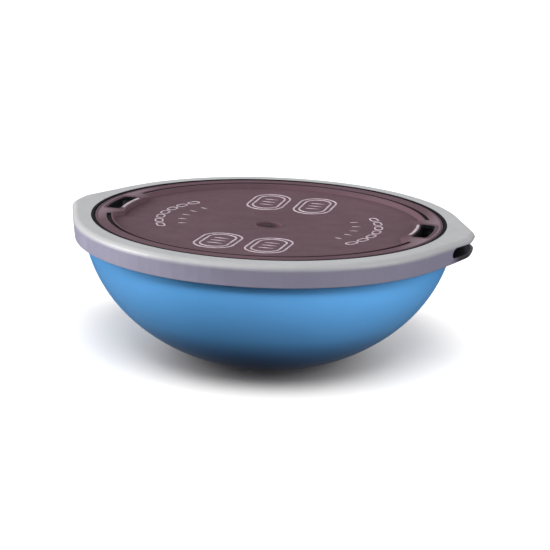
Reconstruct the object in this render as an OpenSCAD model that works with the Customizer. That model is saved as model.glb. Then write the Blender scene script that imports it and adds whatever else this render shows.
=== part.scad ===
// Balance dome trainer, standing dome down: an inflated rubber dome clamped under a
// rigid round platform with two hand-hold ears. Millimetres, +Z up, origin on the floor
// under the middle of the dome, +X through the middle of an ear.

/* [Platform] */
// Diameter of the round part of the platform, without the ears
platform_d = 635; // [630:1:640]
// Height from the floor to the top face of the rim
total_h = 238; // [232:1:244]
// Radius of the rim's rounded top edge
edge_r = 9; // [7:0.5:10]
// How far the rim's side leans in between its rounded edge and its foot
side_lean = 3; // [2:0.5:3.5]

/* [Ears] */
// Distance from the centre to the end of an ear
ear_reach = 335; // [333:1:337]
// Radius of an ear's two corners, seen from above
ear_corner_r = 45; // [42:1:48]
// Distance between an ear's two corner centres
ear_corner_gap = 30; // [26:1:34]

/* [Hand holds] */
// Length of the slot through the deck
slot_len = 94; // [84:1:96]
// Radial width of the slot through the deck
slot_w = 26; // [22:1:26]
// Length of the opening in the end of an ear
mouth_len = 142; // [120:1:142]
// Height of the opening in the end of an ear
mouth_h = 17.5; // [14:0.5:18]

/* [Deck] */
// Diameter of the deck's flange, which drops into the rim
deck_d = 568; // [566:1:569]
// Depth of the step from the deck's flange down to its floor
deck_step = 7.8; // [6:0.2:9]
// Width of the groove round the flange's inner edge
groove_w = 7.5; // [5:0.5:8]
// Depth of the groove round the flange's inner edge
groove_depth = 3.2; // [2:0.2:3.4]
// How much lower the middle of the floor is than its edge
deck_dish = 6.7; // [4:0.1:7]
// Thickness of the deck's floor
deck_t = 4; // [3:0.5:4]

/* [Dome] */
// Widest diameter of the dome's curve, at the level of the platform's top
dome_d = 604; // [600:1:604]
// Depth of the whole half ellipse that the dome's curve follows
dome_depth = 246; // [245:1:250]
// Wall thickness of the dome
dome_wall = 4; // [3:0.5:5]

/* [Valve] */
// Diameter of the air hole, which takes a pump nozzle or the plug
air_d = 8; // [6:0.5:9]
// Radial running clearance between the plug and the air hole
plug_clear = 0.06; // [0.02:0.01:0.1]
// Diameter of the well in the middle of the deck
well_d = 40; // [36:1:44]

/* [Fasteners] */
// Diameter of the screws
screw_d = 3.7; // [3:0.1:3.8]
// Screws through the retaining ring, on each side of the ears
ring_screws_per_side = 10; // [6:1:10]
// Screws through the sealing plate on their outer circle; the inner one has half as many
outer_plate_screws = 8; // [6:2:12]

/* [Hidden] */
$fn = 96;
eps = 0.01;
part_gap = 0.1;                 // clearance between rigid parts that sit in one another

// Colours
rim_grey = [0.78, 0.78, 0.77];
deck_plum = [0.42, 0.34, 0.37];
dome_blue = [0.16, 0.40, 0.70];
dark = [0.10, 0.10, 0.11];
steel = [0.70, 0.71, 0.73];
brass = [0.78, 0.62, 0.30];

// Heights, counted down from the top face of the rim
top_z = total_h;
flange_z = top_z - 1;           // top of the deck's flange
seat_z = top_z - 6.6;           // ledge that the deck's flange sits on
roof_z = top_z - 6;             // underside of the rim's top wall
ledge_low_z = top_z - 10;       // underside of the ledge
plate_top_z = top_z - 29;       // sealing plate
plate_low_z = top_z - 32;
foot_z = top_z - 38;            // lowest point of the retaining ring
floor_edge_z = flange_z - deck_step;
floor_mid_z = floor_edge_z - deck_dish;

// Radii
platform_r = platform_d / 2;
deck_r = deck_d / 2;
gasket_w = 5;                   // gap between deck and rim, filled by the gasket
rim_in_r = deck_r + gasket_w;   // inner edge of the rim's top face
ledge_r = deck_r - 8;
inner_wall_r = rim_in_r + 3.5;  // inner side of the rim's hollow
channel_r = platform_r - 4.5;   // outer side of the rim's hollow
ring_out_r = platform_r - 3.5;
ring_in_r = platform_r - 18.1;
lip_r = platform_r - 11.9;      // edge of the dome's clamped lip
ring_screw_r = platform_r - 8;
groove_out_r = deck_r - 20;
groove_in_r = groove_out_r - groove_w;
flange_in_r = groove_in_r - 2.5;        // inner edge of the flange, inside its groove
flange_lip_z = flange_z - 0.4;  // top of the narrow lip inside the groove
floor_r = flange_in_r - 4;      // where the step reaches the floor

// Foot of the rim: its underside rises outwards
foot_slope = 0.22;
function foot_at(r) = foot_z + (r - ring_in_r) * foot_slope;

// Dome: half of an ellipse, cut flat where it rests on the floor
dome_r = dome_d / 2;
lip_t = 2.7;
lip_gap = 0.3;                  // clearance between the lip and what clamps it
lip_top_z = plate_low_z - lip_gap;
dome_steps = 44;
function dome_at(z, inset = 0) =
    (dome_r - inset) * sqrt(max(0, 1 - pow((top_z - z) / (dome_depth - inset), 2)));

// Ears and hand holds
corner_x = ear_reach - ear_corner_r;
corner_y = ear_corner_gap / 2;
edge_slices = 5;
rim_rib_t = 3;
rim_rib_turn = 30;              // degrees between the ribs in the rim's hollow
slot_mid_r = deck_r - 26;
slot_corner_r = 7;
mouth_z = roof_z - 10.8;        // middle of the mouth's height
liner_wall = 2;
liner_low_z = plate_top_z + 0.2;
pocket_in_x = slot_mid_r - slot_w / 2 - 2;
pocket_step_x = pocket_in_x + 37;       // where the pocket reaches its full length
pocket_half_in = slot_len / 2 + 5;
pocket_wall = 5.5;              // wall of the ear outside the pocket
flank_turn = atan2(corner_y, corner_x)
    + acos((platform_r - ear_corner_r) / norm([corner_x, corner_y]));
flank_run = 47;                 // how far the pocket runs along an ear's straight flank
land_in_r = slot_mid_r - slot_w / 2 - 8.5;
land_out_r = groove_out_r + 3;
land_half = 14;                 // degrees, full-depth part of the land round a slot
land_fade = 3.5;                // degrees, where the land runs out into the flange

// Valve and plug
valve_tube_r = air_d / 2 + 4.4;
valve_flange_r = 13;
valve_flange_t = 2;
well_depth = 8.5;
well_wall = 4;
well_floor_z = floor_mid_z - well_depth;
nut_t = 6;
valve_washer_t = 1;
nut_af = 27;
plug_r = air_d / 2 - plug_clear;
plug_head_r = 9;
plug_head_t = 3;
plug_tab = [14, 3, 3.3];
plug_seal_r = 0.4;
plug_len = 17;
plug_taper = [0.8, 1];          // how much the plug's tip narrows, and over what length
plug_top_z = well_floor_z + valve_flange_t;
plug_low_z = plug_top_z - plug_len;
plug_seal_z = plug_top_z - 5;

// Fasteners
screw_r = screw_d / 2;
screw_fit = 0.05;
insert_wall = 1.05;
insert_len = 8;
insert_low_z = plate_low_z + 0.3;
ring_head = [3.4, 1.4];         // radius and height
ring_seat_z = plate_low_z - 2.2;
ring_screw_len = 15;
boss_r = 3.8;
rib_t = 2.5;
web_gap = 0.05;                 // between the web's parting faces and the floor
plate_head = [4.2, 2.4];
plate_washer_t = 0.8;
plate_screw_tip = 3;            // from a plate screw's tip to the floor's underside
plate_circles = [deck_r - 68, deck_r - 190];    // radii of the two circles of screws
web_rings = [deck_r - 95, deck_r - 155];        // inner radii of the rings that tie the ribs
plate_screw_counts = [outer_plate_screws, outer_plate_screws / 2];
rib_count = 2 * outer_plate_screws;     // a rib runs through every screw's boss

// Top and underside of the deck's floor at radius r
function floor_top(r) = floor_mid_z + deck_dish * (r - well_d / 2) / (floor_r - well_d / 2);
function floor_low(r) = floor_top(r) - deck_t;

// Angles of the screws in the retaining ring, clear of both ears
ear_half_turn = 22.5;
ring_angles = [
    for (side = [0, 180], i = [0 : ring_screws_per_side - 1])
        side + ear_half_turn + i * (180 - 2 * ear_half_turn) / (ring_screws_per_side - 1)
];

module at_ring_screws() {
    for (a = ring_angles) rotate(a) translate([ring_screw_r, 0, 0]) children();
}

module at_plate_screws(circle_index) {
    count = plate_screw_counts[circle_index];
    for (i = [0 : count - 1])
        rotate((i + 0.5) * 360 / count) translate([plate_circles[circle_index], 0, 0]) children();
}

module ring_of(r_in, r_out, low, high) {
    translate([0, 0, low]) difference() {
        cylinder(r = r_out, h = high - low);
        translate([0, 0, -1]) cylinder(r = r_in, h = high - low + 2);
    }
}

// A copy at each ear
module both_ears() {
    for (turn = [0, 180]) rotate(turn) children();
}

// Thin slice of the platform's outline, drawn in by inset
module outline_slice(z, inset) {
    translate([0, 0, z]) cylinder(r = platform_r - inset, h = eps, $fn = 96);
    for (sx = [-1, 1], sy = [-1, 1])
        translate([sx * corner_x, sy * corner_y, z])
            cylinder(r = ear_corner_r - inset, h = eps, $fn = 32);
}

module rim_blank() {
    hull() {
        outline_slice(foot_z, side_lean);
        for (i = [0 : edge_slices])
            outline_slice(top_z - edge_r + edge_r * sin(90 * i / edge_slices) - eps,
                          edge_r * (1 - cos(90 * i / edge_slices)));
    }
}

// Plan of the space for a hand hold inside an ear, grown by grow
module pocket_plan(grow = 0) {
    inner_r = ear_corner_r - pocket_wall;
    turned = [cos(flank_turn), sin(flank_turn)];
    flank_start = [corner_x, corner_y] + inner_r * turned;
    flank_end = flank_start + flank_run * [-turned[1], turned[0]];
    half = [
        [pocket_in_x, pocket_half_in], [pocket_in_x + 11, pocket_half_in],
        [pocket_step_x, flank_end[1]], flank_end, flank_start, [corner_x + inner_r, corner_y]
    ];
    offset(delta = grow) for (s = [-1, 1]) scale([1, s])
        polygon(concat(half, [[corner_x + inner_r, 0], [pocket_in_x, 0]]));
}

// Slot through the deck: a piece of a ring with rounded corners, grown by grow
module slot_plan(grow = 0) {
    offset(r = slot_corner_r + grow, $fn = 32) offset(delta = -slot_corner_r)
        intersection() {
            difference() {
                circle(r = slot_mid_r + slot_w / 2, $fn = 180);
                circle(r = slot_mid_r - slot_w / 2, $fn = 180);
            }
            translate([slot_mid_r - slot_w, -slot_len / 2]) square([2 * slot_w, slot_len]);
        }
}

// Long round-ended hole through the end of an ear
module mouth(grow = 0) {
    end_y = (mouth_len - mouth_h) / 2;
    translate([pocket_step_x, 0, mouth_z]) rotate([90, 0, 90])
        linear_extrude(ear_reach) {
            for (s = [-1, 1]) translate([s * end_y, 0]) circle(r = mouth_h / 2 + grow);
            square([2 * end_y, mouth_h + 2 * grow], center = true);
        }
}

// Everything the rim is hollowed by, as one turned shape
module rim_hollow() {
    rotate_extrude($fn = 180) polygon([
        [0, foot_z - 10], [ring_out_r + 0.2, foot_z - 10], [ring_out_r + 0.2, plate_low_z],
        [channel_r, plate_low_z], [channel_r, roof_z], [inner_wall_r, roof_z],
        [inner_wall_r, plate_top_z], [rim_in_r, plate_top_z], [rim_in_r, ledge_low_z],
        [ledge_r, ledge_low_z], [ledge_r, seat_z], [rim_in_r, seat_z],
        [rim_in_r, top_z + 1], [0, top_z + 1]
    ]);
}

module rim_foot_cut() {
    far = ear_reach + 20;
    rotate_extrude($fn = 180) polygon([
        [ring_in_r - 5, foot_z - 10], [far, foot_z - 10],
        [far, foot_at(far)], [ring_in_r - 5, foot_at(ring_in_r - 5)]
    ]);
}

module rim_ribs() {
    for (side = [0, 180], a = [rim_rib_turn : rim_rib_turn : 180 - rim_rib_turn]) rotate(side + a)
        translate([inner_wall_r - 1, -rim_rib_t / 2, plate_top_z])
            cube([channel_r - inner_wall_r + 2, rim_rib_t, roof_z - plate_top_z + 1]);
}

module rim() {
    color(rim_grey) difference() {
        union() {
            difference() {
                rim_blank();
                rim_hollow();
            }
            at_ring_screws() translate([0, 0, plate_low_z])
                cylinder(r = boss_r, h = roof_z - plate_low_z + 1);
            rim_ribs();
        }
        rim_foot_cut();
        both_ears() {
            translate([0, 0, plate_top_z]) linear_extrude(roof_z - plate_top_z) pocket_plan(0.2);
            mouth();
        }
        at_ring_screws() translate([0, 0, plate_low_z - 1])
            cylinder(r = screw_r + insert_wall, h = ring_screw_len + 2);
    }
}

// Inner edge of the flange at angle a from an ear's axis: a land bulges inwards round a slot
function land_edge(a) =
    let (t = min(1, max(0, (abs(a) - land_half) / land_fade)))
    flange_in_r - (flange_in_r - land_in_r) * (1 + cos(180 * t)) / 2;

// Plan of the land round a slot
module land_plan() {
    reach = land_half + land_fade;
    inner = [for (a = [-reach : land_fade / 7 : reach + eps]) land_edge(a) * [cos(a), sin(a)]];
    outer = [for (a = [reach : -reach / 12 : -reach - eps]) land_out_r * [cos(a), sin(a)]];
    polygon(concat(inner, outer));
}

// Flat border of the deck, with its groove, its step and a land round each slot
module deck_flange() {
    groove_z = flange_z - groove_depth;
    color(deck_plum) difference() {
        union() {
            rotate_extrude($fn = 180) polygon([
                [floor_r, floor_low(floor_r)], [flange_in_r + 2, seat_z], [deck_r, seat_z],
                [deck_r, flange_z - 1], [deck_r - 1, flange_z], [groove_out_r, flange_z],
                [groove_out_r, groove_z], [groove_in_r, groove_z], [groove_in_r, flange_lip_z],
                [flange_in_r, flange_lip_z], [floor_r, floor_edge_z]
            ]);
            both_ears() translate([0, 0, floor_low(land_in_r)])
                linear_extrude(flange_z - floor_low(land_in_r)) land_plan();
        }
        both_ears() {
            pocket_space();
            translate([0, 0, seat_z - 1]) linear_extrude(top_z) slot_plan(part_gap);
        }
    }
}

// Space that a grip liner needs under the deck
module pocket_space() {
    translate([0, 0, plate_top_z - 1]) linear_extrude(roof_z - plate_top_z + 1.1) pocket_plan(0.5);
}

// Dished floor with its well, cut round as one turned shape
module floor_shell() {
    well_r = well_d / 2;
    rotate_extrude($fn = 180) polygon([
        [0, plate_top_z], [well_r + well_wall, plate_top_z],
        [well_r + well_wall, floor_low(well_r + well_wall)], [floor_r, floor_low(floor_r)],
        [floor_r, floor_edge_z], [well_r + 1, floor_top(well_r)],
        [well_r, floor_top(well_r) - 1], [well_r, well_floor_z], [0, well_floor_z]
    ]);
}

module deck_floor() {
    color(deck_plum) difference() {
        floor_shell();
        floor_cuts();
        translate([0, 0, plate_top_z - 1]) cylinder(r = valve_tube_r + part_gap, h = top_z);
    }
}

// What the ears take out of the floor and of the web under it
module floor_cuts() {
    both_ears() {
        translate([0, 0, plate_top_z - 1]) linear_extrude(top_z) land_plan();
        pocket_space();
    }
}

// Ribs and screw bosses under the floor, trimmed to its underside
module deck_web() {
    inner_r = well_d / 2 + well_wall + web_gap;
    color(deck_plum) difference() {
        intersection() {
            union() {
                for (i = [0 : rib_count - 1]) rotate(i * 360 / rib_count)
                    translate([inner_r, -rib_t / 2, plate_top_z])
                        cube([floor_r - inner_r, rib_t, top_z]);
                for (r = concat(web_rings, floor_r - rib_t))
                    ring_of(r, r + rib_t, plate_top_z, top_z);
                for (k = [0, 1]) at_plate_screws(k)
                    translate([0, 0, plate_top_z]) cylinder(r = boss_r + 1, h = top_z);
            }
            rotate_extrude($fn = 180) polygon([
                [0, plate_top_z], [floor_r, plate_top_z],
                [floor_r, floor_low(floor_r) - web_gap], [0, floor_low(0) - web_gap]
            ]);
        }
        floor_cuts();
        for (k = [0, 1]) at_plate_screws(k) translate([0, 0, plate_top_z - 1])
            cylinder(r = screw_r + screw_fit, h = floor_low(plate_circles[k]) - plate_top_z);
    }
}

// Black rubber ring that fills the gap between the deck and the rim, flush with the rim
module deck_gasket() {
    color(dark) ring_of(deck_r + part_gap, rim_in_r - part_gap, roof_z + part_gap, top_z);
}

// Airtight plate that closes the dome, clamped on the dome's lip
module sealing_plate() {
    color(dark) difference() {
        translate([0, 0, plate_low_z]) cylinder(r = lip_r, h = plate_top_z - plate_low_z);
        translate([0, 0, plate_low_z - 1]) cylinder(r = valve_tube_r + part_gap, h = 10);
        for (k = [0, 1]) at_plate_screws(k)
            translate([0, 0, plate_low_z - 1]) cylinder(r = screw_r + screw_fit, h = 10);
    }
}

// Ring that holds the dome's lip up against the sealing plate
module retaining_ring() {
    rebate_z = lip_top_z - lip_t - lip_gap;
    rebate_r = lip_r + 0.4;
    color(rim_grey) difference() {
        rotate_extrude($fn = 180) polygon([
            [ring_in_r, foot_at(ring_in_r)], [ring_out_r, foot_at(ring_out_r)],
            [ring_out_r, plate_low_z], [rebate_r, plate_low_z],
            [rebate_r, rebate_z], [ring_in_r, rebate_z]
        ]);
        at_ring_screws() translate([0, 0, foot_z - 5]) {
            cylinder(r = screw_r + screw_fit, h = 20);
            cylinder(r = ring_head[0] + 0.3, h = ring_seat_z - foot_z + 5);
        }
    }
}

// Inflated rubber dome, with the flat patch that it rests on and its clamped lip
module dome() {
    outer = [
        for (i = [0 : dome_steps])
            let (z = lip_top_z * (1 - cos(90 * i / dome_steps)))
            [dome_at(z), z]
    ];
    inner = [
        for (i = [dome_steps : -1 : 0])
            let (z = dome_wall + (lip_top_z - dome_wall) * (1 - cos(90 * i / dome_steps)))
            [dome_at(z, dome_wall), z]
    ];
    lip_low_z = lip_top_z - lip_t;
    wall_up = [for (p = outer) if (p[1] < lip_low_z - 0.5) p];
    lip = [[dome_at(lip_low_z), lip_low_z], [lip_r, lip_low_z], [lip_r, lip_top_z]];
    color(dome_blue) rotate_extrude($fn = 180)
        polygon(concat([[0, 0]], wall_up, lip, inner, [[0, dome_wall]]));
}

// Dark moulding that lines a hand hold, from the deck's slot to the ear's mouth
module grip_liner() {
    color(dark) difference() {
        union() {
            translate([0, 0, liner_low_z]) linear_extrude(roof_z - liner_low_z) pocket_plan();
            translate([0, 0, roof_z - 1]) linear_extrude(flange_z - roof_z + 0.4) slot_plan();
        }
        translate([0, 0, liner_low_z + liner_wall])
            linear_extrude(roof_z - liner_low_z - 2 * liner_wall + 0.4) pocket_plan(-liner_wall);
        mouth();
        translate([0, 0, roof_z - 5]) linear_extrude(20) slot_plan(-liner_wall);
    }
}

module pan_screw(head, length) {
    slot = [head[0] * 1.1, 0.8, 0.9];
    difference() {
        union() {
            translate([0, 0, -head[1]]) cylinder(r = head[0], h = head[1]);
            cylinder(r = screw_r, h = length);
        }
        for (a = [0, 90]) rotate(a) translate([-slot[0] / 2, -slot[1] / 2, -head[1] - eps]) cube(slot);
    }
}

module ring_screws() {
    color(steel) at_ring_screws()
        translate([0, 0, ring_seat_z]) pan_screw(ring_head, ring_screw_len);
}

// Threaded inserts in the rim's bosses
module ring_inserts() {
    color(brass) at_ring_screws()
        ring_of(screw_r + screw_fit, screw_r + insert_wall, insert_low_z, insert_low_z + insert_len);
}

module plate_screws() {
    color(steel) for (k = [0, 1]) at_plate_screws(k)
        translate([0, 0, plate_low_z - plate_washer_t])
            pan_screw(plate_head, floor_low(plate_circles[k]) - plate_low_z - plate_screw_tip);
}

module plate_washers() {
    color(dark) for (k = [0, 1]) at_plate_screws(k)
        ring_of(screw_r + part_gap, plate_head[0] + 0.6, plate_low_z - plate_washer_t, plate_low_z);
}

module valve_body() {
    tube_low_z = plate_low_z - valve_washer_t - nut_t - 2;
    color(dark) difference() {
        union() {
            translate([0, 0, tube_low_z])
                cylinder(r = valve_tube_r, h = well_floor_z - tube_low_z + eps);
            translate([0, 0, well_floor_z]) cylinder(r = valve_flange_r, h = valve_flange_t);
        }
        translate([0, 0, tube_low_z - 1]) cylinder(r = air_d / 2, h = 60);
    }
}

module valve_washer() {
    color(dark)
        ring_of(valve_tube_r + part_gap, nut_af / 2, plate_low_z - valve_washer_t, plate_low_z);
}

module valve_nut() {
    nut_top_z = plate_low_z - valve_washer_t;
    color(dark) translate([0, 0, nut_top_z - nut_t]) difference() {
        cylinder(r = nut_af / 2 / cos(30), h = nut_t, $fn = 6);
        translate([0, 0, -1]) cylinder(r = valve_tube_r + screw_fit, h = nut_t + 2);
    }
}

// Push-in plug with a tab to pull it out by
module valve_plug() {
    color(dark) difference() {
        union() {
            translate([0, 0, plug_low_z])
                cylinder(r1 = plug_r - plug_taper[0], r2 = plug_r, h = plug_taper[1] + eps);
            translate([0, 0, plug_low_z + plug_taper[1]])
                cylinder(r = plug_r, h = plug_len - plug_taper[1] + eps);
            translate([0, 0, plug_top_z]) cylinder(r = plug_head_r, h = plug_head_t);
            translate([0, 0, plug_top_z + plug_head_t + plug_tab[2] / 2 - eps])
                cube(plug_tab, center = true);
        }
        ring_of(plug_r - 2 * plug_seal_r, plug_r + 1,
                plug_seal_z - plug_seal_r, plug_seal_z + plug_seal_r);
    }
}

module plug_seal() {
    color(dark) translate([0, 0, plug_seal_z]) rotate_extrude()
        translate([plug_r - plug_seal_r, 0]) circle(r = plug_seal_r, $fn = 32);
}

dome();
rim();
deck_flange();
deck_floor();
deck_web();
deck_gasket();
sealing_plate();
retaining_ring();
rotate(180) grip_liner();  // grip_liner_left
grip_liner();  // grip_liner_right
ring_screws();
ring_inserts();
plate_screws();
plate_washers();
valve_body();
valve_washer();
valve_nut();
valve_plug();
plug_seal();
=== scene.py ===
"""Looks of the balance dome trainer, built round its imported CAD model. Metres, +Z up, +X through an ear."""

import math

import bpy
from mathutils import Matrix, Vector


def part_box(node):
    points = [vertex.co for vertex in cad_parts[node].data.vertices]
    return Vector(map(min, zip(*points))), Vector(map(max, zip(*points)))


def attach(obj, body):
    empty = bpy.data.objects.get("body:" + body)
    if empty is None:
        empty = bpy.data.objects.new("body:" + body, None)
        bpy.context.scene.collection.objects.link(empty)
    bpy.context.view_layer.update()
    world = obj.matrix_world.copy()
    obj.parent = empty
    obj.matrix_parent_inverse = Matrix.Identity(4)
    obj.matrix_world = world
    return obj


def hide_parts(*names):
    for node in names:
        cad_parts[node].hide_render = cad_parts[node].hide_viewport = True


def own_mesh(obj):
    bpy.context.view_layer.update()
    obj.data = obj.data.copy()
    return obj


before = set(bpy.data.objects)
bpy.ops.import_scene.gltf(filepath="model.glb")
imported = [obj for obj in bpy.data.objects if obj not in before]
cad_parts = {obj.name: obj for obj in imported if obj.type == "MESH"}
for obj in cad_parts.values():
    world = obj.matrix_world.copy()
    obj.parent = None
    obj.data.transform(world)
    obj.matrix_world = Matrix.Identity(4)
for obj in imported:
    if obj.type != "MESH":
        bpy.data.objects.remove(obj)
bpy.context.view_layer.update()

MM = 0.001

# ---------------------------------------------------------------- sizes
# From the frame
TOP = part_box("rim")[1][2]
FLANGE_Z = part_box("deck_flange")[1][2]
DECK_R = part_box("deck_flange")[1][0]
LIP_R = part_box("dome")[1][0]
LIP_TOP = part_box("dome")[1][2]

# The dome's curve is half an ellipse about the level of the rim's top. Its lowest 8 mm is lost in
# the flat patch on the floor.
DOME_R = 302 * MM
DOME_DEPTH = TOP + 8 * MM
DOME_WALL = 4 * MM
LIP_T = 2.7 * MM

# The slots in the deck's flange, and the groove between them
SLOT_MID_R = DECK_R - 26 * MM
SLOT_WIDTH = 26 * MM
SLOT_LENGTH = 94 * MM
SLOT_CORNER = 7 * MM
GROOVE_R = DECK_R - 27.5 * MM

# Widths and heights of the raised lines on the deck
FOOT_LINE = (3.4 * MM, 0.7 * MM)
LINK_LINE = (2.8 * MM, 0.6 * MM)
EDGE_LINE = (5.0 * MM, 1.3 * MM)
RING_LINE = (3.0 * MM, 0.7 * MM)
LIP_LINE = (4.0 * MM, 0.9 * MM)

# Sockets of a Mix node that mixes colours
MIX_FACTOR, MIX_A, MIX_B, MIX_RESULT = 0, 6, 7, 2


# ---------------------------------------------------------------- meshes
def new_object(name, verts, faces, smooth=True):
    mesh = bpy.data.meshes.new(name)
    mesh.from_pydata(verts, [], faces)
    mesh.update()
    obj = bpy.data.objects.new(name, mesh)
    bpy.context.scene.collection.objects.link(obj)
    if smooth:
        mesh.shade_smooth()
    return obj


def lathe(name, profile):
    """Turns a closed profile of (radius, height) points, which starts and ends on the axis."""
    segments = 192
    verts = [(0.0, 0.0, profile[0][1])]
    ring = profile[1:-1]
    for r, z in ring:
        for k in range(segments):
            a = 2 * math.pi * k / segments
            verts.append((r * math.cos(a), r * math.sin(a), z))
    verts.append((0.0, 0.0, profile[-1][1]))
    last = len(verts) - 1
    faces = []
    for k in range(segments):
        n = (k + 1) % segments
        faces.append((0, 1 + n, 1 + k))
        for j in range(len(ring) - 1):
            low, high = 1 + j * segments, 1 + (j + 1) * segments
            faces.append((low + k, low + n, high + n, high + k))
        top = 1 + (len(ring) - 1) * segments
        faces.append((top + k, top + n, last))
    return new_object(name, verts, faces)


def bead(name, lines, size, height_at):
    """Raised half-round lines that follow a surface. Each line is (points, closed)."""
    width, height = size
    sides, sunk, end_taper = 7, 0.4 * MM, 0.35
    verts, faces = [], []
    for points, closed in lines:
        count, start = len(points), len(verts)
        for i, (x, y) in enumerate(points):
            before = points[(i - 1) % count] if closed else points[max(i - 1, 0)]
            after = points[(i + 1) % count] if closed else points[min(i + 1, count - 1)]
            along = Vector((after[0] - before[0], after[1] - before[1])).normalized()
            across = Vector((-along.y, along.x))
            taper = 1.0 if closed or 0 < i < count - 1 else end_taper
            level = height_at(x, y)
            for s in range(sides):
                t = math.pi * s / (sides - 1)
                off = across * (-math.cos(t) * width / 2 * taper)
                up = height * math.sin(t) * taper if 0 < s < sides - 1 else -sunk
                verts.append((x + off.x, y + off.y, level + up))
        for i in range(count if closed else count - 1):
            a, b = start + i * sides, start + ((i + 1) % count) * sides
            for s in range(sides - 1):
                faces.append((a + s, b + s, b + s + 1, a + s + 1))
            faces.append((a + sides - 1, b + sides - 1, b, a))
        if not closed:
            faces.append(tuple(start + s for s in range(sides)))
            faces.append(tuple(start + (count - 1) * sides + s for s in reversed(range(sides))))
    return new_object(name, verts, faces)


def on_deck_floor(x, y):
    """Height of the deck's dished floor at a point seen from above."""
    above, downwards = Vector((x, y, 1.0)), Vector((0, 0, -1))
    hit, place, _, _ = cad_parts["deck_floor"].ray_cast(above, downwards)
    return place.z if hit else FLANGE_Z


def on_flange(x, y):
    """Height of the deck's flange, which is the same all over."""
    return FLANGE_Z


# ---------------------------------------------------------------- outlines
def turned(points, degrees):
    """The points turned about the Z axis."""
    c, s = math.cos(math.radians(degrees)), math.sin(math.radians(degrees))
    return [(x * c - y * s, x * s + y * c) for x, y in points]


def arc(r, first, last, step=1.5):
    """Points round the Z axis from one angle to another, about step degrees apart."""
    count = round((last - first) / step) + 1
    angles = [math.radians(first + (last - first) * k / (count - 1)) for k in range(count)]
    return [(r * math.cos(a), r * math.sin(a)) for a in angles]


def ring(r, step):
    """A full circle as the one closed line of a bead."""
    return [(arc(r, 0, 360 - step, step), True)]


def oval(cx, cy, width, length, steps=16):
    """A round-ended outline, its length along Y."""
    r, half = width / 2, (length - width) / 2
    points = []
    for end, first in ((1, 0), (-1, 180)):
        for k in range(steps + 1):
            a = math.radians(first + 180 * k / steps)
            points.append((cx + r * math.cos(a), cy + end * half + r * math.sin(a)))
    return points


def foot_marks(direction):
    """Two foot-sized ovals side by side, each with tread dashes, in front of or behind the middle."""
    centre, spacing = -0.52 * DECK_R, 82 * MM
    dash, dash_pitch = 24 * MM, 18 * MM
    lines = []
    for side in (-1, 1):
        x = side * spacing / 2
        for width, length in ((62 * MM, 108 * MM), (44 * MM, 88 * MM)):
            lines.append((oval(x, centre, width, length), True))
        for k in (-1, 0, 1):
            y = centre + k * dash_pitch
            lines.append(([(x - dash / 2, y), (x, y), (x + dash / 2, y)], False))
    return [(turned(points, direction), closed) for points, closed in lines]


def grip_links(direction):
    """An arc of small raised links beside a hand hold, and an arc of ticks inside it."""
    links_r, ticks_r, tick = 0.63 * DECK_R, 0.50 * DECK_R, 14 * MM
    link_points = oval(links_r, 0, 12 * MM, 22 * MM, 8)
    tick_points = [(ticks_r - tick / 2, 0), (ticks_r, 0), (ticks_r + tick / 2, 0)]
    lines = []
    for points, closed, count, pitch in ((link_points, True, 7, 9.5), (tick_points, False, 5, 12)):
        for k in range(count):
            lines.append((turned(points, direction + (k - (count - 1) / 2) * pitch), closed))
    return lines


def slot_edge(direction):
    """The inner long side of a slot, where fingers rub."""
    inside, half_angle = 15.6 * MM, 9.5
    return [(turned(arc(SLOT_MID_R - inside, -half_angle, half_angle), direction), False)]


def slot_corners(grow):
    """The rounded corners of the slot at +X, grown by grow. Its long sides are left as straight jumps."""
    half_width, half_length, corner = SLOT_WIDTH / 2 + grow, SLOT_LENGTH / 2 + grow, SLOT_CORNER + grow
    outer, inner = SLOT_MID_R + half_width - corner, SLOT_MID_R - half_width + corner
    steps = 6
    points = []
    for r, end, first in ((outer, 1, 0), (inner, 1, 90), (inner, -1, 180), (outer, -1, 270)):
        cy = end * (half_length - corner)
        cx = math.sqrt(r ** 2 - cy ** 2)
        for k in range(steps + 1):
            a = math.radians(first + 90 * k / steps)
            points.append((cx + corner * math.cos(a), cy + corner * math.sin(a)))
    return points


def slot_lip(direction):
    """A line round a slot, its long sides bent round the deck's middle as the slot itself is."""
    outside, long_side, steps = 2.2 * MM, 20 * MM, 14
    corners = slot_corners(outside)
    points = []
    for (x, y), (next_x, next_y) in zip(corners, corners[1:] + corners[:1]):
        points.append((x, y))
        if math.hypot(next_x - x, next_y - y) > long_side:
            r, a = math.hypot(x, y), math.atan2(y, x)
            r_more, a_more = math.hypot(next_x, next_y) - r, math.atan2(next_y, next_x) - a
            for k in range(1, steps):
                r_here, a_here = r + r_more * k / steps, a + a_more * k / steps
                points.append((r_here * math.cos(a_here), r_here * math.sin(a_here)))
    return [(turned(points, direction), True)]


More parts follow.
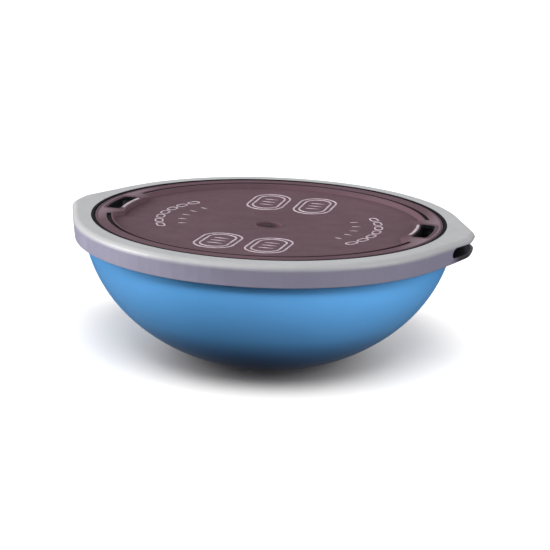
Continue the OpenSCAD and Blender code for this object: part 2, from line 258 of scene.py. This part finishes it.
# ---------------------------------------------------------------- materials
class Nodes:
    """A material's node tree, with short calls for the few nodes that these materials use."""

    def __init__(self, name):
        self.mat = bpy.data.materials.new(name)
        self.mat.use_nodes = True
        self.tree = self.mat.node_tree
        self.shader = self.tree.nodes["Principled BSDF"]
        self.place = self.tree.nodes.new("ShaderNodeTexCoord").outputs["Object"]

    def add(self, kind, **values):
        node = self.tree.nodes.new(kind)
        for key, value in values.items():
            setattr(node, key, value)
        return node

    def link(self, source, target):
        self.tree.links.new(source, target)

    def set(self, **values):
        """Numbers that are the same all over, on the shader's own sockets."""
        for key, value in values.items():
            self.shader.inputs[key.replace("_", " ")].default_value = value

    def colour(self, output):
        self.link(output, self.shader.inputs["Base Color"])

    def roughness(self, output):
        self.link(output, self.shader.inputs["Roughness"])

    def noise(self, scale, detail=3.0, roughness=0.55):
        node = self.add("ShaderNodeTexNoise")
        self.link(self.place, node.inputs["Vector"])
        node.inputs["Scale"].default_value = scale
        node.inputs["Detail"].default_value = detail
        node.inputs["Roughness"].default_value = roughness
        return node.outputs["Fac"]

    def cells(self, scale):
        node = self.add("ShaderNodeTexVoronoi", feature="SMOOTH_F1")
        self.link(self.place, node.inputs["Vector"])
        node.inputs["Scale"].default_value = scale
        return node.outputs["Distance"]

    def tint(self, fac, low, high, at_low=0.3, at_high=0.7):
        """From the colour low to the colour high, as fac goes from at_low to at_high."""
        node = self.add("ShaderNodeValToRGB")
        self.link(fac, node.inputs["Fac"])
        for element, at, colour in zip(node.color_ramp.elements, (at_low, at_high), (low, high)):
            element.position = at
            element.color = (*colour, 1.0)
        return node.outputs["Color"]

    def spread(self, fac, low, high, at_low=0.3, at_high=0.7):
        """From the number low to the number high, as fac goes from at_low to at_high."""
        node = self.add("ShaderNodeMapRange")
        self.link(fac, node.inputs["Value"])
        node.inputs["From Min"].default_value = at_low
        node.inputs["From Max"].default_value = at_high
        node.inputs["To Min"].default_value = low
        node.inputs["To Max"].default_value = high
        return node.outputs["Result"]

    def mix(self, fac, a, b):
        """From the output a to the colour or output b."""
        node = self.add("ShaderNodeMix", data_type="RGBA")
        self.link(fac, node.inputs[MIX_FACTOR])
        self.link(a, node.inputs[MIX_A])
        if isinstance(b, tuple):
            node.inputs[MIX_B].default_value = (*b, 1.0)
        else:
            self.link(b, node.inputs[MIX_B])
        return node.outputs[MIX_RESULT]

    def along(self, axis):
        node = self.add("ShaderNodeSeparateXYZ")
        self.link(self.place, node.inputs[0])
        return node.outputs[axis]

    def from_axis(self):
        """Distance from the Z axis."""
        node = self.add("ShaderNodeVectorMath", operation="MULTIPLY")
        self.link(self.place, node.inputs[0])
        node.inputs[1].default_value = (1.0, 1.0, 0.0)
        length = self.add("ShaderNodeVectorMath", operation="LENGTH")
        self.link(node.outputs["Vector"], length.inputs[0])
        return length.outputs["Value"]

    def calc(self, operation, *values):
        node = self.add("ShaderNodeMath", operation=operation)
        for value, socket in zip(values, node.inputs):
            self.link(value, socket)
        return node.outputs[0]

    def bump(self, heights, normal=None):
        """heights is a list of (height output, distance in metres), the coarsest first."""
        for value, distance in heights:
            node = self.add("ShaderNodeBump")
            node.inputs["Strength"].default_value = 1.0
            node.inputs["Distance"].default_value = distance
            self.link(value, node.inputs["Height"])
            if normal is not None:
                self.link(normal, node.inputs["Normal"])
            normal = node.outputs["Normal"]
        self.link(normal, self.shader.inputs["Normal"])

    def rounded_edges(self, radius):
        node = self.add("ShaderNodeBevel", samples=4)
        node.inputs["Radius"].default_value = radius
        return node.outputs["Normal"]


def srgb(r, g, b):
    """A colour given as the 0 to 255 that a screen shows, as the linear numbers that a shader takes."""
    def linear(v):
        v /= 255
        return v / 12.92 if v <= 0.04045 else ((v + 0.055) / 1.055) ** 2.4
    return tuple(linear(v) for v in (r, g, b))


def paler(colour, times):
    return tuple(c * times for c in colour)


def rim_plastic():
    """Light grey on top; darker and faintly violet down the side, which is painted shade, and near black
    painted shade on the lower edge at the ends of the ears.
    """
    n = Nodes("rim_plastic")
    mottle = n.noise(9.0, 4.0)
    top = n.tint(mottle, (0.335, 0.335, 0.331), (0.372, 0.372, 0.368))
    # Down the side: a darker, faintly violet grey, painted shade below the rounded top edge
    side = n.tint(mottle, (0.245, 0.230, 0.305), (0.278, 0.262, 0.342))
    is_top = n.spread(n.along("Z"), 0.0, 1.0, TOP - 12 * MM, TOP - 3 * MM)
    grime = n.spread(n.noise(60.0, 6.0, 0.7), 0.0, 0.15, 0.55, 0.8)
    colour = n.mix(is_top, side, top)
    # Near black on the lower edge of each ear's end: painted shade where that face turns away from the light
    ear_end_shade = n.spread(n.calc("ABSOLUTE", n.along("X")), 0.0, 1.0, 312 * MM, 322 * MM)
    is_low = n.spread(n.along("Z"), 1.0, 0.0, TOP - 26 * MM, TOP - 23 * MM)
    colour = n.mix(n.calc("MULTIPLY", ear_end_shade, is_low), colour, (0.035, 0.034, 0.037))
    n.colour(n.mix(grime, colour, (0.24, 0.22, 0.21)))
    n.roughness(n.spread(n.noise(35.0, 5.0), 0.36, 0.52))
    n.bump([(n.noise(25.0, 2.0), 0.15 * MM), (n.noise(900.0, 2.0), 0.05 * MM)], n.rounded_edges(1.2 * MM))
    return n.mat


def deck_plastic(name, groove_r=None):
    """The deck's moulding. On the flange, whose groove starts at groove_r, a painted highlight makes the ends
    by the slots paler, and painted shade darkens the groove and the edge by the gasket."""
    n = Nodes(name)
    mottle = n.noise(7.0, 5.0)
    colour = n.tint(mottle, (0.090, 0.052, 0.062), (0.110, 0.064, 0.076))
    scuff = n.spread(n.noise(42.0, 8.0, 0.75), 0.0, 0.25, 0.58, 0.82)
    colour = n.mix(scuff, colour, (0.170, 0.120, 0.135))
    if groove_r is not None:
        # Paler towards the flange's two ends, by the slots: a painted highlight where the ends catch the side
        # light
        sideways = n.calc("ABSOLUTE", n.along("X"))
        painted_highlight_ends = n.spread(sideways, 0.0, 0.5, SLOT_MID_R - 22 * MM, SLOT_MID_R + 4 * MM)
        colour = n.mix(painted_highlight_ends, colour, (0.255, 0.195, 0.213))
        # Near black in the groove and on the edge by the gasket: painted shade in these recesses
        sunk = n.spread(n.along("Z"), 1.0, 0.0, FLANGE_Z - 1.8 * MM, FLANGE_Z - 0.6 * MM)
        outside = n.spread(n.from_axis(), 0.0, 1.0, groove_r - 1 * MM, groove_r)
        by_gasket = n.spread(n.from_axis(), 0.0, 1.0, DECK_R - 2.6 * MM, DECK_R - 2.0 * MM)
        groove_and_gasket_shade = n.calc("MAXIMUM", n.calc("MULTIPLY", sunk, outside), by_gasket)
        colour = n.mix(groove_and_gasket_shade, colour, (0.012, 0.009, 0.010))
    n.colour(colour)
    n.set(Specular_IOR_Level=0.04)
    n.roughness(n.spread(n.noise(30.0, 5.0), 0.50, 0.66))
    n.bump([(n.noise(18.0, 2.0), 0.2 * MM), (n.cells(650.0), 0.10 * MM)], n.rounded_edges(1.0 * MM))
    return n.mat


def raised_plastic():
    """The deck's plastic where it stands proud, its tops worn paler by shoes."""
    n = Nodes("raised_plastic")
    wear = n.noise(70.0, 5.0, 0.65)
    n.colour(n.tint(wear, (0.30, 0.235, 0.257), (0.50, 0.410, 0.445), 0.35, 0.65))
    n.roughness(n.spread(wear, 0.38, 0.56))
    n.bump([(n.noise(700.0, 2.0), 0.04 * MM)])
    return n.mat


def dark_plastic(name, shade, grain):
    n = Nodes(name)
    n.set(Specular_IOR_Level=0.25)
    n.colour(n.tint(n.noise(24.0, 4.0), shade, paler(shade, 1.7)))
    n.roughness(n.spread(n.noise(40.0, 4.0), 0.38, 0.55))
    n.bump([(n.noise(grain, 2.0), 0.05 * MM)], n.rounded_edges(0.6 * MM))
    return n.mat


def dark_rubber(name, shade, gloss=0.5):
    n = Nodes(name)
    n.set(Specular_IOR_Level=gloss)
    n.colour(n.tint(n.noise(30.0, 5.0), shade, paler(shade, 1.8)))
    n.roughness(n.spread(n.noise(55.0, 4.0), 0.62, 0.80))
    n.bump([(n.noise(420.0, 3.0), 0.05 * MM)])
    return n.mat


def dome_rubber():
    """Blue rubber with a little dust, darkened towards the floor by painted shade."""
    n = Nodes("dome_rubber")
    cloud = n.noise(5.0, 4.0)
    colour = n.tint(cloud, (0.066, 0.245, 0.500), (0.082, 0.268, 0.540))
    dust = n.spread(n.noise(85.0, 7.0, 0.72), 0.0, 0.10, 0.56, 0.8)
    colour = n.mix(dust, colour, (0.18, 0.34, 0.56))
    # Darker towards the floor: painted shade towards the contact patch
    shade_towards_floor = n.spread(n.along("Z"), 0.90, 0.0, 20 * MM, 100 * MM)
    n.colour(n.mix(shade_towards_floor, colour, (0.011, 0.018, 0.072)))
    n.roughness(n.spread(n.noise(16.0, 5.0), 0.34, 0.46))
    n.bump([(n.noise(14.0, 2.0), 0.35 * MM), (n.cells(520.0), 0.05 * MM)])
    n.set(Specular_IOR_Level=0.5, Coat_Weight=0.35, Coat_Roughness=0.35,
          Sheen_Weight=0.05, Sheen_Roughness=0.3)
    return n.mat


def metal(name, low, high, roughness):
    n = Nodes(name)
    scratch = n.noise(260.0, 6.0, 0.7)
    n.colour(n.tint(scratch, low, high))
    n.roughness(n.spread(scratch, roughness, roughness + 0.16))
    n.bump([(scratch, 0.02 * MM)])
    n.set(Metallic=1.0)
    return n.mat


def studio_floor():
    n = Nodes("studio_floor")
    n.colour(n.tint(n.noise(1.5, 3.0), (0.79, 0.772, 0.748), (0.81, 0.792, 0.768)))
    n.set(Roughness=0.75)
    return n.mat


def paint(obj, mat):
    obj.data.materials.clear()
    obj.data.materials.append(mat)


# ---------------------------------------------------------------- finishes of the CAD nodes
mats = {
    "rim": rim_plastic(),
    "deck": deck_plastic("deck_plastic"),
    "flange": deck_plastic("flange_plastic", GROOVE_R),
    "raised": raised_plastic(),
    "dome": dome_rubber(),
    "black": dark_plastic("black_plastic", srgb(14, 13, 15), 800.0),
    "rubber": dark_rubber("black_rubber", srgb(9, 8, 9), 0.08),
    "plug": dark_rubber("plug_rubber", srgb(44, 30, 36)),
    "steel": metal("screw_steel", srgb(150, 150, 154), srgb(190, 190, 194), 0.25),
    "brass": metal("insert_brass", srgb(180, 145, 80), srgb(214, 178, 104), 0.28),
}
finish_of = {
    "rim": "rim", "retaining_ring": "rim",
    "deck_floor": "deck", "deck_web": "deck", "deck_flange": "flange",
    "deck_gasket": "rubber", "plate_washers": "rubber", "valve_washer": "rubber", "plug_seal": "rubber",
    "sealing_plate": "black", "grip_liner_left": "black", "grip_liner_right": "black",
    "valve_body": "black", "valve_nut": "black", "valve_plug": "plug",
    "ring_screws": "steel", "plate_screws": "steel", "ring_inserts": "brass",
    "dome": "dome",
}
for node, finish in finish_of.items():
    paint(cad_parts[node], mats[finish])


# ---------------------------------------------------------------- the dome
def dome_skin():
    """The inflated dome: outer skin, clamped lip and inner skin, as one closed shell."""
    rings, patch_rings = 90, 12
    lip_low = LIP_TOP - LIP_T

    def radius(z, inset=0.0):
        return (DOME_R - inset) * math.sqrt(max(0.0, 1 - ((TOP - z) / (DOME_DEPTH - inset)) ** 2))

    def rising(low, high):
        """Heights from low to high, closest together at the bottom, where the curve is flattest."""
        return [low + (high - low) * (1 - math.cos(math.pi / 2 * k / rings)) for k in range(rings + 1)]

    patch = radius(0.0)
    profile = [(patch * k / patch_rings, 0.0) for k in range(patch_rings)]
    profile += [(radius(z), z) for z in rising(0.0, lip_low)]
    profile += [(LIP_R, lip_low), (LIP_R, LIP_TOP)]
    profile += [(radius(z, DOME_WALL), z) for z in reversed(rising(DOME_WALL, LIP_TOP))]
    profile += [(0.0, DOME_WALL)]
    return lathe("dome_skin", profile)


skin = dome_skin()
paint(skin, mats["dome"])
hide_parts("dome")
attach(skin, "dome")
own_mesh(skin)

# ---------------------------------------------------------------- raised lines on the deck
raised = [
    bead("front_foot_marks", foot_marks(0), FOOT_LINE, on_deck_floor),
    bead("back_foot_marks", foot_marks(180), FOOT_LINE, on_deck_floor),
    bead("right_grip_links", grip_links(0), LINK_LINE, on_deck_floor),
    bead("left_grip_links", grip_links(180), LINK_LINE, on_deck_floor),
    bead("right_slot_edge", slot_edge(0), EDGE_LINE, on_flange),
    bead("left_slot_edge", slot_edge(180), EDGE_LINE, on_flange),
]
moulded = [
    bead("flange_beads", ring(DECK_R - 4.5 * MM, 1.5), RING_LINE, on_flange),
    bead("well_lip", ring(22.8 * MM, 5), RING_LINE, on_deck_floor),
    bead("right_slot_lip", slot_lip(0), LIP_LINE, on_flange),
    bead("left_slot_lip", slot_lip(180), LIP_LINE, on_flange),
]
for pieces, finish in ((raised, "raised"), (moulded, "deck")):
    for piece in pieces:
        paint(piece, mats[finish])
        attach(piece, "platform")

# ---------------------------------------------------------------- floor and lights
FLOOR_HALF = 30
floor_corners = [(x * FLOOR_HALF, y * FLOOR_HALF, 0) for x, y in ((-1, -1), (1, -1), (1, 1), (-1, 1))]
floor = new_object("floor", floor_corners, [(0, 1, 2, 3)], smooth=False)
paint(floor, studio_floor())
# No light comes back from the floor, so that the dome darkens towards its foot
floor.visible_diffuse = floor.visible_glossy = False


def group_of(name, objs, state="INCLUDE"):
    """A light-linking group: only objs are lit (INCLUDE), or everything but objs (EXCLUDE)."""
    group = bpy.data.collections.new(name)
    for obj in objs:
        group.objects.link(obj)
    for member in group.collection_objects:
        member.light_linking.link_state = state
    return group


def soft_sun(name, direction, spread, power, lit):
    """Light from a round patch of sky, spread degrees wide, that comes along direction and falls only on
    the group lit."""
    data = bpy.data.lights.new(name, "SUN")
    data.angle, data.energy = math.radians(spread), power
    lamp = bpy.data.objects.new(name, data)
    lamp.rotation_mode = "QUATERNION"
    lamp.rotation_quaternion = Vector(direction).to_track_quat("-Z", "Y")
    bpy.context.scene.collection.objects.link(lamp)
    lamp.light_linking.receiver_collection = lit


everything_but_floor = group_of("everything_but_floor", [floor], "EXCLUDE")
all_but_dome_and_floor = group_of("all_but_dome_and_floor", [floor, skin], "EXCLUDE")
dome_only = group_of("dome_only", [skin])
floor_only = group_of("floor_only", [floor])

soft_sun("front_box", (-0.2, 0.78, -0.68), 16, 3.5, dome_only)
soft_sun("front_fill", (0.25, 0.76, -0.68), 30, 1.05, all_but_dome_and_floor)
soft_sun("left_box", (1.0, 0.28, -0.30), 40, 4.7, all_but_dome_and_floor)
soft_sun("left_dome_box", (1.0, 0.28, -0.30), 40, 6.0, dome_only)
soft_sun("right_box", (-1.0, 0.22, -0.38), 45, 1.9, all_but_dome_and_floor)
soft_sun("right_dome_box", (-1.0, 0.15, -0.42), 45, 4.4, dome_only)
soft_sun("overhead", (0.2, -0.5, -1.0), 100, 0.1, everything_but_floor)
soft_sun("sweep_light", (-0.17, 0.70, -1.0), 34, 3.0, floor_only)
soft_sun("sweep_left", (0.9, 0.5, -1.0), 50, 1.4, floor_only)
soft_sun("sweep_right", (-1.0, 0.2, -1.0), 50, 1.4, floor_only)
soft_sun("sweep_fill", (0.0, 0.0, -1.0), 120, 0.4, floor_only)


def studio_world():
    """Nearly dark below the horizon, bright just above it and soft overhead. The camera itself sees a
    white backdrop."""
    world = bpy.data.worlds.new("studio")
    world.use_nodes = True
    nodes, links = world.node_tree.nodes, world.node_tree.links
    split = nodes.new("ShaderNodeSeparateXYZ")
    links.new(nodes.new("ShaderNodeTexCoord").outputs["Generated"], split.inputs[0])

    # The ramp runs from straight down (height -1) to straight up (height 1)
    level = nodes.new("ShaderNodeMapRange")
    level.inputs["From Min"].default_value = -1.0
    links.new(split.outputs["Z"], level.inputs["Value"])
    sky = nodes.new("ShaderNodeValToRGB")
    links.new(level.outputs["Result"], sky.inputs["Fac"])
    sky.color_ramp.elements[0].color = (0.02, 0.02, 0.03, 1.0)
    sky.color_ramp.elements[1].color = (0.45, 0.46, 0.50, 1.0)
    blueness = 1.06
    for height, shade in ((-0.01, 0.01), (0.03, 0.90), (0.12, 0.55)):
        sky.color_ramp.elements.new((height + 1) / 2).color = (shade, shade, shade * blueness, 1.0)

    backdrop = nodes.new("ShaderNodeMix")
    backdrop.data_type = "RGBA"
    links.new(nodes.new("ShaderNodeLightPath").outputs["Is Camera Ray"], backdrop.inputs[MIX_FACTOR])
    links.new(sky.outputs["Color"], backdrop.inputs[MIX_A])
    backdrop.inputs[MIX_B].default_value = (1.0, 1.0, 1.0, 1.0)
    links.new(backdrop.outputs[MIX_RESULT], nodes["Background"].inputs["Color"])
    return world


bpy.context.scene.world = studio_world()
bpy.context.scene.view_settings.view_transform = "Standard"


# ---------------------------------------------------------------- camera
def add_camera():
    """The camera looks along +Y, turned towards one side, from a little above, slightly rolled. It aims a
    little to the right of the middle of the rim's top, and well below it."""
    azimuth, elevation, roll = math.radians(15), math.radians(13.07), math.radians(2)
    distance, aim_right, aim_down = 2.574, 12.57 * MM, 96.6 * MM
    lens, sensor = 103.248, 36

    back = Vector((math.sin(azimuth) * math.cos(elevation), -math.cos(azimuth) * math.cos(elevation),
                   math.sin(elevation)))
    right = Vector((math.cos(azimuth), math.sin(azimuth), 0))
    up = back.cross(right)
    place = Vector((0, 0, TOP)) + back * distance
    view = (-back * distance + right * aim_right - up * aim_down).normalized()
    right = view.cross(up).normalized()
    up = right.cross(view)
    x_axis = right * math.cos(roll) + up * math.sin(roll)
    y_axis = up * math.cos(roll) - right * math.sin(roll)

    data = bpy.data.cameras.new("camera")
    data.lens, data.sensor_width = lens, sensor
    data.clip_start, data.clip_end = 0.05, 100
    camera = bpy.data.objects.new("camera", data)
    axes = Matrix((x_axis, y_axis, -view)).transposed().to_4x4()
    camera.matrix_world = Matrix.Translation(place) @ axes
    bpy.context.scene.collection.objects.link(camera)
    bpy.context.scene.camera = camera


add_camera()
